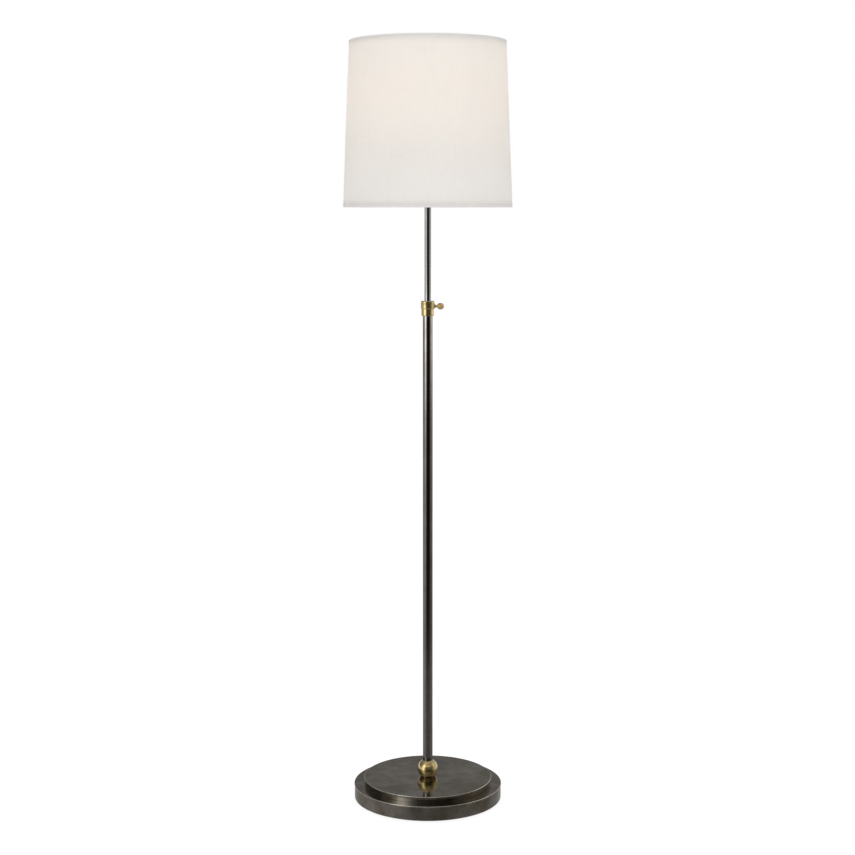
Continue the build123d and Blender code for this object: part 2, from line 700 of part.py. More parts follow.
def shade_panel():
    """Laminated drum shade: one thin wall, a little wider at the bottom."""
    return turned(
        (SHADE_BOTTOM_R - SHADE_THICKNESS, SHADE_BOTTOM),
        (SHADE_BOTTOM_R, SHADE_BOTTOM),
        (SHADE_TOP_R, SHADE_TOP),
        (SHADE_TOP_R - SHADE_THICKNESS, SHADE_TOP),
    )


def wire_ring(height):
    """Hoop of wire that lies inside the shade's wall at a height, and its radius."""
    ring_r = shade_radius(height) - SHADE_THICKNESS - RING_WIRE_R - 0.1
    return Pos(0, 0, height) * Torus(ring_r, RING_WIRE_R), ring_r


def shade_top_ring():
    return wire_ring(SHADE_TOP - RING_WIRE_R - 0.1)[0]


def shade_bottom_ring():
    return wire_ring(SHADE_BOTTOM + RING_WIRE_R + 0.1)[0]


def shade_spider():
    """Washer on the harp's stud and the arms that rise from it to the top ring."""
    ring_height = SHADE_TOP - RING_WIRE_R - 0.1
    ring, ring_r = wire_ring(ring_height)
    level = WASHER_TOP - SPIDER_WASHER_THICKNESS / 2
    spider = tube(SPIDER_WASHER_R, 3.3, STUD_SHOULDER_TOP, WASHER_TOP, 0.3)
    corners = [(8.0, 0, level), (ring_r - 22.0, 0, level), (ring_r, 0, ring_height)]
    bend = FilletPolyline(*corners, radius=20.0)
    arm = round_wire(RING_WIRE_R, bend)
    for turn in range(SPIDER_ARMS):
        spider += Rot(0, 0, 90 + turn * 360 / SPIDER_ARMS) * arm
    return spider - ring


def hem(edge, inward):
    """Strip of cloth folded over one edge of the shade. inward is +1 at the bottom edge, -1 at the top."""
    far = edge + inward * HEM_HEIGHT
    face = shade_radius(edge)
    face_far = shade_radius(far)
    return turned(
        (face, edge),
        (face_far, far),
        (face_far + HEM_THICKNESS, far),
        (face + HEM_THICKNESS, edge - inward * HEM_THICKNESS, 0.3),
        (face - 4.4, edge - inward * HEM_THICKNESS),
        (face - 4.4, edge),
    )


def shade_top_hem():
    return hem(SHADE_TOP, -1)


def shade_bottom_hem():
    return hem(SHADE_BOTTOM, 1)


def finial():
    """Turned knob that screws on the stud and holds the shade down."""
    return turned(
        (3.2, WASHER_TOP),
        (6.2, WASHER_TOP, 0.6),
        (6.2, WASHER_TOP + 2.2, 0.6),
        (4.0, WASHER_TOP + 3.4, 1.0),
        (4.0, WASHER_TOP + 5.6, 1.0),
        (7.4, WASHER_TOP + 9.6, 2.6),
        (7.4, WASHER_TOP + 16.4, 3.6),
        (2.6, FINIAL_TOP, 1.8),
        (0, FINIAL_TOP),
        (0, STUD_SHOULDER_TOP + 17.0),
        (3.2, STUD_SHOULDER_TOP + 17.0),
    )


# ---------------------------------------------------------------- the assembly

PIECES = {
    "felt_pad": felt_pad,
    "lower_tier": lower_tier,
    "upper_tier": upper_tier,
    "tier_spacer": tier_spacer,
    "base_weight": base_weight,
    "base_cover": base_cover,
    "cover_screws": cover_screws,
    "cord_bushing": cord_bushing,
    "threaded_nipple": threaded_nipple,
    "nipple_lock_washer": nipple_lock_washer,
    "nipple_hex_nut": nipple_hex_nut,
    "brass_ball": brass_ball,
    "lower_tube": lower_tube,
    "tube_bottom_plug": tube_bottom_plug,
    "clamp_collar": clamp_collar,
    "collar_top_ring": collar_top_ring,
    "upper_guide_bush": upper_guide_bush,
    "clamp_tip": clamp_tip,
    "thumbscrew": thumbscrew,
    "upper_rod": upper_rod,
    "rod_retaining_ring": rod_retaining_ring,
    "rod_guide_bush": rod_guide_bush,
    "rod_end_plug": rod_end_plug,
    "rod_top_coupling": rod_top_coupling,
    "harp_saddle": harp_saddle,
    "harp_loop": harp_loop,
    "harp_stud": harp_stud,
    "harp_sleeve_left": lambda: harp_sleeve(-1),
    "harp_sleeve_right": lambda: harp_sleeve(1),
    "holder_nipple": holder_nipple,
    "holder_cap": holder_cap,
    "holder_shell": holder_shell,
    "holder_liner": holder_liner,
    "holder_body": holder_body,
    "terminal_screws": terminal_screws,
    "screw_shell": screw_shell,
    "centre_contact": centre_contact,
    "switch_shaft": switch_shaft,
    "switch_knob": switch_knob,
    "bulb_cap": bulb_cap,
    "bulb_insulator": bulb_insulator,
    "bulb_contact": bulb_contact,
    "bulb_glass": bulb_glass,
    "bulb_stem": bulb_stem,
    "bulb_filament": bulb_filament,
    "shade_panel": shade_panel,
    "shade_top_ring": shade_top_ring,
    "shade_bottom_ring": shade_bottom_ring,
    "shade_spider": shade_spider,
    "shade_top_hem": shade_top_hem,
    "shade_bottom_hem": shade_bottom_hem,
    "finial": finial,
}

os.makedirs("parts", exist_ok=True)
for name, make in PIECES.items():
    export_step(make(), f"parts/{name}.step")
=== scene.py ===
"""Looks of an adjustable floor lamp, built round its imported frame.

Metres, +Z up. The camera looks along +Y.
"""

import json
import math

import bpy
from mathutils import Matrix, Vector, noise


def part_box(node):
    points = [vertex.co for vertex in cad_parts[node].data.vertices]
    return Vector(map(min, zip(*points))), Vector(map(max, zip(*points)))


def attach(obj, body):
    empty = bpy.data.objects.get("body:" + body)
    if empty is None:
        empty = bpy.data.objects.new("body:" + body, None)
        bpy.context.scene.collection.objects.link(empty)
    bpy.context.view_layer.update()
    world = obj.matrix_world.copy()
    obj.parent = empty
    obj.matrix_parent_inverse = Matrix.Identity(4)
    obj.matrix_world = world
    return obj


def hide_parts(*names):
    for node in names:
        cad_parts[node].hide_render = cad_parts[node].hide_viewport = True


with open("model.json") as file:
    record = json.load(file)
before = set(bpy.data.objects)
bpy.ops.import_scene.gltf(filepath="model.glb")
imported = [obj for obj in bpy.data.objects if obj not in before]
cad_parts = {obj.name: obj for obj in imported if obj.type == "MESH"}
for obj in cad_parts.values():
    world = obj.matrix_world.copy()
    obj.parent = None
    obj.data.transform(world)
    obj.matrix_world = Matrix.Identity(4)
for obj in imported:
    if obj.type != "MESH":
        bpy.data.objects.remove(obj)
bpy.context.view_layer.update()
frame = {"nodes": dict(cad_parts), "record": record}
nodes = frame["nodes"]
MM = 0.001

# -------------------------------------------------------------------------------- camera

CAMERA_PLACE = (-0.0005, -3.2055, 1.1448)
CAMERA_TILT = 7.39  # degrees down
CAMERA_LENS, CAMERA_SENSOR = 71.36, 36.0  # mm


def make_camera():
    data = bpy.data.cameras.new("camera")
    data.sensor_width = CAMERA_SENSOR
    data.lens = CAMERA_LENS
    camera = bpy.data.objects.new("camera", data)
    camera.location = CAMERA_PLACE
    camera.rotation_euler = (math.radians(90 - CAMERA_TILT), 0, 0)
    bpy.context.scene.collection.objects.link(camera)
    bpy.context.scene.camera = camera


# -------------------------------------------------------------------------- node helpers


class Nodes:
    """Short calls that add shader nodes to a tree.

    Each returns an output socket, and takes sockets or numbers.
    """

    def __init__(self, tree):
        self.tree = tree
        tree.nodes.clear()

    def feed(self, socket, value):
        if isinstance(value, bpy.types.NodeSocket):
            self.tree.links.new(value, socket)
        else:
            socket.default_value = value

    def add(self, kind, inputs=None, output=0, **settings):
        node = self.tree.nodes.new(kind)
        for key, value in settings.items():
            setattr(node, key, value)
        for key, value in (inputs or {}).items():
            self.feed(node.inputs[key], value)
        return node.outputs[output]

    def math(self, operation, a, b=0.0, clamp=False):
        return self.add("ShaderNodeMath", {0: a, 1: b}, operation=operation, use_clamp=clamp)

    def vector(self, operation, a, b):
        return self.add("ShaderNodeVectorMath", {0: a, 1: b}, operation=operation)

    def split(self, vector):
        node = self.tree.nodes.new("ShaderNodeSeparateXYZ")
        self.feed(node.inputs[0], vector)
        return node.outputs

    def join(self, x, y, z):
        return self.add("ShaderNodeCombineXYZ", {0: x, 1: y, 2: z})

    def noise(self, vector, scale, detail=3.0, roughness=0.5):
        inputs = {"Vector": vector, "Scale": scale, "Detail": detail, "Roughness": roughness}
        return self.add("ShaderNodeTexNoise", inputs)

    def span(self, value, low, high, to_low=0.0, to_high=1.0, smooth=False):
        kind = "SMOOTHSTEP" if smooth else "LINEAR"
        return self.add("ShaderNodeMapRange", {0: value, 1: low, 2: high, 3: to_low, 4: to_high},
                        interpolation_type=kind, clamp=True)

    def mix(self, share, a, b):
        """Mix of two colours."""
        node = self.tree.nodes.new("ShaderNodeMix")
        node.data_type = "RGBA"
        self.feed(node.inputs[0], share)
        self.feed(node.inputs[6], a)
        self.feed(node.inputs[7], b)
        return node.outputs[2]

    def ramp(self, value, stops):
        """Grey ramp through (position, level) stops."""
        node = self.tree.nodes.new("ShaderNodeValToRGB")
        elements = node.color_ramp.elements
        while len(elements) > 1:
            elements.remove(elements[-1])
        for i, (position, level) in enumerate(stops):
            element = elements[0] if i == 0 else elements.new(position)
            element.position = position
            element.color = (level, level, level, 1)
        self.feed(node.inputs[0], value)
        return node.outputs[0]

    def bump(self, height, depth, normal=None, strength=1.0):
        """Normal bent by a height from 0 to 1 that stands for a depth in metres."""
        inputs = {"Height": height, "Distance": depth, "Strength": strength}
        if normal is not None:
            inputs["Normal"] = normal
        return self.add("ShaderNodeBump", inputs)

    def place(self):
        """The point in the lamp's own frame, in metres."""
        return self.add("ShaderNodeTexCoord", output="Object")

    def finish(self, shader, kind="ShaderNodeOutputMaterial"):
        self.feed(self.tree.nodes.new(kind).inputs[0], shader)


def new_material(name):
    material = bpy.data.materials.new(name)
    material.use_nodes = True
    return material, Nodes(material.node_tree)


def rgb(red, green, blue):
    return (red, green, blue, 1.0)


def shade(colour, factor):
    return tuple(channel * factor for channel in colour[:3]) + (1.0,)


# -------------------------------------------------------------------------------- studio

# What polished metal mirrors, by azimuth in degrees: 0 towards the camera, 90 to its right
ROOM_BY_AZIMUTH = [
    (-180, 0.45), (-130, 0.50), (-112, 0.55), (-80, 0.55), (-60, 0.35), (-45, 0.12), (-29, 0.03),
    (-7, 0.015), (16, 0.012), (38, 0.03), (50, 0.10), (63, 0.15), (92, 0.17), (112, 0.25), (128, 0.40),
    (150, 0.50), (180, 0.45),
]
LEFT_BOX_BY_AZIMUTH = [
    (-180, 0.0), (-100, 0.0), (-84, 0.08), (-74, 0.18), (-64, 0.48), (-55, 0.95), (-46, 1.0),
    (-37, 0.50), (-28, 0.14), (-17, 0.02), (-8, 0.0), (180, 0.0),
]
RIGHT_BOX_BY_AZIMUTH = [
    (-180, 0.20), (-150, 0.05), (-120, 0.0), (44, 0.0), (56, 0.18), (66, 0.45), (80, 1.0), (92, 1.2),
    (110, 1.0), (130, 0.65), (150, 0.40), (180, 0.20),
]
# The same by the sine of the elevation
ROOM_BY_HEIGHT = [
    (-1.0, 0.30), (-0.34, 0.40), (-0.306, 0.55), (-0.29, 0.75), (-0.26, 0.95), (-0.2, 1.0),
    (-0.06, 1.0), (-0.045, 1.6), (-0.03, 2.1), (0.08, 2.0), (0.18, 1.1), (0.27, 0.335), (0.34, 0.29),
    (0.6, 0.5), (1.0, 0.50),
]
BOXES_BY_HEIGHT = [
    (-1.0, 0.0), (-0.25, 0.02), (-0.21, 0.06), (-0.154, 0.12), (-0.123, 0.20), (-0.099, 0.46),
    (-0.083, 0.72), (-0.066, 1.0), (-0.057, 0.70), (-0.045, 0.36), (-0.02, 0.28), (0.08, 0.34),
    (0.3, 0.50), (0.5, 0.60), (0.66, 0.45), (0.85, 0.15), (1.0, 0.05),
]
FLOOR_BY_HEIGHT = [
    (-1.0, 0.50), (-0.5, 0.50), (-0.38, 0.25), (-0.306, 0.16), (-0.29, 0.20), (-0.267, 0.10),
    (-0.25, 0.02), (-0.2, 0.0), (1.0, 0.0),
]
CEILING_BY_HEIGHT = [(-1.0, 0.0), (0.3, 0.0), (0.55, 0.06), (0.75, 0.14), (0.87, 0.40), (1.0, 0.48)]
FRONT_BY_AZIMUTH = [
    (-180, 0.0), (-70, 0.0), (-40, 0.5), (-20, 1.0), (20, 1.0), (40, 0.5), (70, 0.0), (180, 0.0),
]
FRONT_BY_HEIGHT = [
    (-1.0, 0.0), (0.05, 0.0), (0.2, 0.14), (0.35, 0.18), (0.5, 0.25), (0.56, 0.80), (0.69, 0.80),
    (0.77, 0.32), (0.87, 0.25), (1.0, 0.22),
]
# A dark strip low down behind the lamp, so that the column has a dark line in it from there too
STRIP_BY_AZIMUTH = [(-180, 1.0), (-158, 0.0), (158, 0.0), (180, 1.0)]
STRIP_BY_HEIGHT = [(-1.0, 0.8), (0.12, 0.8), (0.22, 0.0), (1.0, 0.0)]
LEFT_BOX, RIGHT_BOX = 4.8, 1.5
AMBIENT = rgb(0.86, 0.86, 0.87)  # what cloth and other dull surfaces get from all round
FLOOR_GLOW, FLOOR_ALBEDO = 0.80, 0.30
FLOOR_SIZE, FLOOR_DROP = 60, 0.2 * MM  # the drop keeps it clear of the felt
FILL_PLACE, FILL_SIZE, FILL_POWER = (0.0, -3.6, 2.0), 2.0, 24.0
FILL_TURN = 76  # degrees from straight down


def make_world():
    world = bpy.data.worlds.new("studio")
    world.use_nodes = True
    world.cycles.sampling_method = "NONE"
    bpy.context.scene.world = world
    n = Nodes(world.node_tree)
    x, y, z = n.split(n.add("ShaderNodeTexCoord", output="Generated"))
    turn = n.math("ARCTAN2", x, n.math("MULTIPLY", y, -1.0))
    azimuth = n.span(turn, -math.pi, math.pi)
    height = n.span(z, -1.0, 1.0)

    def by_azimuth(stops):
        return n.ramp(azimuth, [(degrees / 360 + 0.5, level) for degrees, level in stops])

    def by_height(stops):
        return n.ramp(height, [(sine / 2 + 0.5, level) for sine, level in stops])

    left = n.math("MULTIPLY", by_azimuth(LEFT_BOX_BY_AZIMUTH), LEFT_BOX)
    right = n.math("MULTIPLY", by_azimuth(RIGHT_BOX_BY_AZIMUTH), RIGHT_BOX)
    boxes = n.math("MULTIPLY", n.math("ADD", left, right), by_height(BOXES_BY_HEIGHT))
    room = n.math("MULTIPLY", by_azimuth(ROOM_BY_AZIMUTH), by_height(ROOM_BY_HEIGHT))
    strip = n.math("MULTIPLY", by_azimuth(STRIP_BY_AZIMUTH), by_height(STRIP_BY_HEIGHT))
    room = n.math("MULTIPLY", room, n.math("SUBTRACT", 1.0, strip))
    ends = n.math("ADD", by_height(FLOOR_BY_HEIGHT), by_height(CEILING_BY_HEIGHT))
    front = n.math("MULTIPLY", by_azimuth(FRONT_BY_AZIMUTH), by_height(FRONT_BY_HEIGHT))
    level = n.math("ADD", n.math("ADD", room, boxes), n.math("ADD", ends, front))
    studio = n.add("ShaderNodeBackground", {"Color": rgb(1.0, 0.985, 0.965), "Strength": level})
    ambient = n.add("ShaderNodeBackground", {"Color": AMBIENT, "Strength": 1.0})
    backdrop = n.add("ShaderNodeBackground", {"Color": rgb(1, 1, 1), "Strength": 1.0})
    dull = n.add("ShaderNodeLightPath", output="Is Diffuse Ray")
    seen = n.add("ShaderNodeLightPath", output="Is Camera Ray")
    behind = n.add("ShaderNodeMixShader", {0: dull, 1: studio, 2: ambient})
    n.finish(n.add("ShaderNodeMixShader", {0: seen, 1: behind, 2: backdrop}), "ShaderNodeOutputWorld")


def make_floor():
    bpy.ops.mesh.primitive_plane_add(size=FLOOR_SIZE, location=(0, 0, -FLOOR_DROP))
    floor = bpy.context.object
    floor.name = "floor"
    floor.visible_glossy = False
    material, n = new_material("white_sweep")
    glow = n.add("ShaderNodeEmission", {"Color": rgb(1, 1, 1), "Strength": FLOOR_GLOW})
    paint = n.add("ShaderNodeBsdfDiffuse", {"Color": rgb(FLOOR_ALBEDO, FLOOR_ALBEDO, FLOOR_ALBEDO)})
    n.finish(n.add("ShaderNodeAddShader", {0: glow, 1: paint}))
    floor.data.materials.append(material)


def make_fill():
    """Soft light from the camera's side for cloth and floor, which polished metal doesn't mirror."""
    data = bpy.data.lights.new("fill", "AREA")
    data.size = FILL_SIZE
    data.energy = FILL_POWER
    fill = bpy.data.objects.new("fill", data)
    fill.location = FILL_PLACE
    fill.rotation_euler = (math.radians(FILL_TURN), 0, 0)
    fill.visible_glossy = False
    bpy.context.scene.collection.objects.link(fill)


def make_studio():
    make_world()
    make_floor()
    make_fill()
    view = bpy.context.scene.view_settings
    view.view_transform = "Standard"
    view.look = "None"


# -------------------------------------------------------------------------------- metals


def turned_place(n, rings_per_metre, turns=3.0):
    """Coordinates in which noise makes fine rings round Z, as a lathe or a buffing wheel leaves."""
    x, y, z = n.split(n.place())
    flat = n.join(x, y, 0.0)
    radius = n.add("ShaderNodeVectorMath", {0: flat}, output="Value", operation="LENGTH")
    angle = n.math("ARCTAN2", y, x)
    across = n.math("MULTIPLY", radius, rings_per_metre)
    along = n.math("MULTIPLY", z, rings_per_metre)
    return n.join(across, along, n.math("MULTIPLY", angle, turns))


def drawn_place(n, lines_per_metre, stretch=0.01):
    """Coordinates in which noise makes long fine lines along Z, as on drawn tube or wire."""
    scale = (lines_per_metre, lines_per_metre, lines_per_metre * stretch)
    return n.vector("MULTIPLY", n.place(), scale)


def rim_mask(n, rims, width):
    """1 on the edges of turned pieces, given as (radius, height), and 0 further away than a width."""
    x, y, z = n.split(n.place())
    radius = n.math("SQRT", n.math("ADD", n.math("MULTIPLY", x, x), n.math("MULTIPLY", y, y)))
    wander = n.span(n.noise(n.place(), 90.0, 4.0), 0.3, 0.7, 0.45 * width, 1.3 * width)
    mask = None
    for rim_radius, rim_height in rims:
        away = n.math("ABSOLUTE", n.math("SUBTRACT", radius, rim_radius))
        below = n.math("ABSOLUTE", n.math("SUBTRACT", z, rim_height))
        near = n.math("SUBTRACT", 1.0, n.math("DIVIDE", n.math("ADD", away, below), wander), clamp=True)
        mask = near if mask is None else n.math("MAXIMUM", mask, near)
    return mask


GROOVE_DIRT = 0.8


def groove_mask(n, heights):
    """GROOVE_DIRT at the heights where pieces meet, and 0 further than a millimetre or so from them."""
    z = n.split(n.place())[2]
    reach = n.span(n.noise(n.place(), 240.0, 3.0), 0.3, 0.7, 0.3 * MM, 1.1 * MM)
    mask = None
    for height in heights:
        away = n.math("ABSOLUTE", n.math("SUBTRACT", z, height))
        near = n.math("SUBTRACT", 1.0, n.math("DIVIDE", away, reach), clamp=True)
        mask = near if mask is None else n.math("MAXIMUM", mask, near)
    return n.math("MULTIPLY", mask, GROOVE_DIRT)


LARGE_CLOUDS, SMALL_CLOUDS = 0.75, 0.25  # shares of the two sizes of cloud
CLOUD_LOW, CLOUD_HIGH = 0.39, 0.61  # noise levels at which a cloud begins and is full
LACQUER_ROUGHNESS = 0.08


def metal(name, clean, old, roughness, lines="turned", cloud=45.0, cloud_depth=1.0, line_depth=0.001,
          line_tone=0.15, rims=(), rim_wear_and_highlight_colour=None, rim_width=1.4 * MM, grooves=(), anisotropy=0.0,
          metallic=1.0, lacquer=0.0):
    """Metal with clouds of an older colour and fine tool marks.

    Edges listed in rims get a brighter colour, partly wear and partly a painted highlight, and dirt darkens
    the joints at the heights in grooves.
    """
    material, n = new_material(name)
    place = n.place()
    clouds = n.math("ADD", n.math("MULTIPLY", n.noise(place, cloud, 4.0, 0.5), LARGE_CLOUDS),
                    n.math("MULTIPLY", n.noise(place, cloud * 4.0, 3.0, 0.5), SMALL_CLOUDS))
    clouds = n.span(clouds, CLOUD_LOW, CLOUD_HIGH)
    marks = turned_place(n, 1400.0) if lines == "turned" else drawn_place(n, 2600.0)
    if lines == "cast":
        marks = n.vector("MULTIPLY", place, (900.0, 900.0, 900.0))
    fine = n.noise(marks, 1.0, 3.0, 0.6)
    age = n.math("MULTIPLY", clouds, cloud_depth)
    age = n.math("ADD", age, n.math("MULTIPLY", n.math("SUBTRACT", fine, 0.5), 2 * line_tone), clamp=True)
    colour = n.mix(age, clean, old)
    wear = n.math("ADD", clouds, n.math("MULTIPLY", fine, 0.5))
    rough = n.span(wear, 0.0, 1.5, roughness * 0.8, roughness * 1.3)
    if rims:
        # Painted highlight along the listed edges, partly wear: a brighter colour on the rims
        wear_and_highlight = rim_mask(n, rims, rim_width)
        colour = n.mix(wear_and_highlight, colour, rim_wear_and_highlight_colour)
    if grooves:
        colour = n.mix(groove_mask(n, grooves), colour, shade(old, 0.35))
    inputs = {
        "Base Color": colour, "Metallic": metallic, "Roughness": rough, "Specular IOR Level": 0.5,
        "Normal": n.bump(fine, line_depth * MM),
    }
    if lacquer:
        inputs["Coat Weight"] = lacquer
        inputs["Coat Roughness"] = LACQUER_ROUGHNESS
    if anisotropy:
        inputs["Anisotropic"] = anisotropy
        inputs["Anisotropic Rotation"] = 0.25
        inputs["Tangent"] = n.add("ShaderNodeTangent", direction_type="RADIAL", axis="Z")
    n.finish(n.add("ShaderNodeBsdfPrincipled", inputs))
    return material


def brushed_bronze():
    rims = []
    for tier in ("lower_tier", "upper_tier"):
        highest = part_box(tier)[1]
        rims.append((highest.x - 0.35 * MM, highest.z - 0.35 * MM))
    # The rim colour is a painted highlight on the tier edges, partly wear
    return metal("brushed_bronze", rgb(0.285, 0.268, 0.238), rgb(0.155, 0.132, 0.098), 0.10, cloud=15.0,
                 cloud_depth=1.0, line_depth=0.0006, rims=rims,
                 rim_wear_and_highlight_colour=rgb(0.55, 0.52, 0.47), anisotropy=0.3)


def bronze_tube():
    return metal("bronze_tube", rgb(0.275, 0.258, 0.242), rgb(0.215, 0.190, 0.176), 0.08, lines="drawn",
                 cloud=26.0, cloud_depth=0.8, line_depth=0.0004, line_tone=0.22)


def antique_brass():
    joints = [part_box("brass_ball")[0].z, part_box("brass_ball")[1].z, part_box("collar_top_ring")[0].z,
              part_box("clamp_collar")[0].z]
    return metal("antique_brass", rgb(0.46, 0.365, 0.145), rgb(0.34, 0.235, 0.080), 0.12, cloud=70.0,
                 cloud_depth=0.7, line_depth=0.0008, line_tone=0.05, grooves=joints, metallic=0.92,
                 lacquer=1.0)


def gunmetal():
    return metal("gunmetal", rgb(0.32, 0.318, 0.31), rgb(0.26, 0.255, 0.245), 0.07, lines="drawn", cloud=60.0,
                 cloud_depth=0.6, line_depth=0.0004, line_tone=0.22)


def cast_iron():
    return metal("cast_iron", rgb(0.12, 0.12, 0.125), rgb(0.055, 0.05, 0.048), 0.62, lines="cast", cloud=70.0,
                 line_depth=0.12)


def zinc_steel():
    return metal("zinc_steel", rgb(0.60, 0.60, 0.585), rgb(0.42, 0.41, 0.38), 0.33, cloud=120.0,
                 cloud_depth=0.6)


def brass_plain():
    return metal("brass_plain", rgb(0.80, 0.62, 0.30), rgb(0.58, 0.40, 0.17), 0.26, cloud=150.0,
                 cloud_depth=0.6)


def nickel():
    return metal("nickel", rgb(0.66, 0.64, 0.60), rgb(0.48, 0.455, 0.42), 0.22, lines="drawn", cloud=110.0,
                 cloud_depth=0.6)


def holder_bronze():
    return metal("holder_bronze", rgb(0.20, 0.155, 0.11), rgb(0.11, 0.08, 0.055), 0.28, cloud=120.0)


def bulb_aluminium():
    return metal("bulb_aluminium", rgb(0.83, 0.83, 0.82), rgb(0.62, 0.62, 0.60), 0.30, cloud=200.0,
                 cloud_depth=0.6)


def tungsten():
    return metal("tungsten", rgb(0.50, 0.47, 0.43), rgb(0.30, 0.28, 0.26), 0.4, lines="drawn", cloud=300.0)


# ----------------------------------------------------------------------- other materials


def plastic(name, colour, roughness, grain=1500.0, grain_depth=0.02, colour_drift=0.12, **more):
    """Moulded plastic with a fine grain and a slight drift of colour."""
    material, n = new_material(name)
    place = n.place()
    drift = n.noise(place, 60.0, 3.0)
    texture = n.noise(place, grain, 2.0)
    inputs = {
        "Base Color": n.mix(drift, shade(colour, 1 - colour_drift), shade(colour, 1 + colour_drift)),
        "Roughness": n.span(drift, 0.3, 0.7, roughness * 0.85, roughness * 1.2),
        "Normal": n.bump(texture, grain_depth * MM),
    }
    inputs.update(more)
    n.finish(n.add("ShaderNodeBsdfPrincipled", inputs))
    return material


def nylon():
    depth = {"Subsurface Weight": 0.15, "Subsurface Scale": 1.0 * MM}
    return plastic("nylon", rgb(0.78, 0.76, 0.69), 0.45, **depth)


def black_plastic():
    return plastic("black_plastic", rgb(0.022, 0.022, 0.024), 0.38)


def phenolic():
    """Filled resin: nearly black, with brown filler that shows as specks."""
    material, n = new_material("phenolic")
    specks = n.span(n.noise(n.place(), 2600.0, 2.0), 0.62, 0.72)
    inputs = {
        "Base Color": n.mix(specks, rgb(0.028, 0.02, 0.017), rgb(0.09, 0.055, 0.035)),
        "Roughness": n.span(n.noise(n.place(), 90.0), 0.3, 0.7, 0.18, 0.30),
        "Normal": n.bump(specks, 0.01 * MM),
    }
    n.finish(n.add("ShaderNodeBsdfPrincipled", inputs))
    return material


def insulating_board():
    """Wound fibre paper: long fibres round the sleeve."""
    material, n = new_material("insulating_board")
    fibres = n.noise(turned_place(n, 2200.0, 14.0), 1.0, 4.0, 0.7)
    inputs = {
        "Base Color": n.mix(fibres, rgb(0.30, 0.20, 0.11), rgb(0.56, 0.43, 0.28)),
        "Roughness": 0.85,
        "Normal": n.bump(fibres, 0.05 * MM),
    }
    n.finish(n.add("ShaderNodeBsdfPrincipled", inputs))
    return material


def black_glass():
    return plastic("black_glass", rgb(0.012, 0.012, 0.016), 0.08, grain=300.0, grain_depth=0.05)


def clear_glass():
    material, n = new_material("clear_glass")
    ripple = n.noise(n.place(), 140.0, 2.0)
    inputs = {
        "Base Color": rgb(0.96, 0.98, 0.97), "Roughness": 0.02, "IOR": 1.5, "Transmission Weight": 1.0,
        "Normal": n.bump(ripple, 0.05 * MM),
    }
    n.finish(n.add("ShaderNodeBsdfPrincipled", inputs))
    return material


BULB_COLOUR, BULB_STRENGTH = rgb(1.0, 0.70, 0.38), 11.0  # the light that it gives
BULB_LOOK, BULB_LOOK_STRENGTH = rgb(1.0, 0.82, 0.58), 0.75  # how the glass looks, seen or mirrored
NECK_GLOW, CROWN_LOOK = 0.25, 0.45  # against 1 at the heart


def frosted_glass():
    """Lit pearl bulb: brightest round the filament, dimmer at the neck."""
    material, n = new_material("frosted_glass")
    lowest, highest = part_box("bulb_glass")
    radius = highest.x
    heart = highest.z - radius
    height = n.split(n.place())[2]
    below = n.span(height, lowest.z + 0.2 * radius, heart, NECK_GLOW, 1.0, smooth=True)
    above = n.span(height, heart, highest.z, 1.0, CROWN_LOOK, smooth=True)
    frost = n.noise(n.place(), 900.0, 3.0, 0.6)
    glow = n.math("MULTIPLY", below, n.span(frost, 0.3, 0.7, 0.94, 1.06))
    skin = {"Roughness": n.span(frost, 0.3, 0.7, 0.42, 0.6), "Normal": n.bump(frost, 0.02 * MM),
            "Specular IOR Level": 0.4}
    lamp = n.add("ShaderNodeBsdfPrincipled", {
        "Base Color": rgb(0.93, 0.91, 0.87), "Emission Color": BULB_COLOUR,
        "Emission Strength": n.math("MULTIPLY", glow, BULB_STRENGTH), **skin})
    look = n.add("ShaderNodeBsdfPrincipled", {
        "Base Color": rgb(0.55, 0.53, 0.50), "Emission Color": BULB_LOOK,
        "Emission Strength": n.math("MULTIPLY", n.math("MULTIPLY", glow, above), BULB_LOOK_STRENGTH), **skin})
    mirrored = n.add("ShaderNodeLightPath", output="Is Glossy Ray")
    seen = n.add("ShaderNodeLightPath", output="Is Camera Ray")
    unseen = n.add("ShaderNodeMixShader", {0: mirrored, 1: lamp, 2: look})
    n.finish(n.add("ShaderNodeMixShader", {0: seen, 1: unseen, 2: look}))
    return material


def shade_wire():
    return plastic("shade_wire", rgb(0.80, 0.79, 0.75), 0.35, grain=700.0, grain_depth=0.04)


def felt():
    """Pressed wool: matted fibres in two greys."""
    material, n = new_material("felt")
    place = n.place()
    bent = n.vector("ADD", n.vector("MULTIPLY", place, (700.0, 700.0, 700.0)),
                    n.add("ShaderNodeTexNoise", {"Vector": place, "Scale": 420.0, "Detail": 3.0}, output=1))
    fibres = n.noise(bent, 1.6, 5.0, 0.75)
    inputs = {
        "Base Color": n.mix(fibres, rgb(0.012, 0.012, 0.013), rgb(0.06, 0.06, 0.064)),
        "Roughness": 0.95, "Sheen Weight": 0.4, "Sheen Roughness": 0.6,
        "Normal": n.bump(fibres, 0.25 * MM),
    }
    n.finish(n.add("ShaderNodeBsdfPrincipled", inputs))
    return material


# --------------------------------------------------------------------------------- linen

THREAD_PITCH = 0.62 * MM
SEAM_WIDTH, SEAM_RISE = 11 * MM, 0.45 * MM
SHADE_BOTTOM_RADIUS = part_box("shade_panel")[1].x
# The first value darkens the colour on the lap as painted shade, for light that the double cloth holds back;
# the second lets less light through there
LAP_PAINTED_SHADE, LAP_SHIELDING = 0.5, 0.5
PORE_LIGHT, SLUB_SHADE = 0.18, 0.14  # light that open places add, and thick yarn takes away
LINEN_COLOUR = rgb(0.86, 0.845, 0.825)
LINEN_DARK = rgb(0.74, 0.725, 0.70)


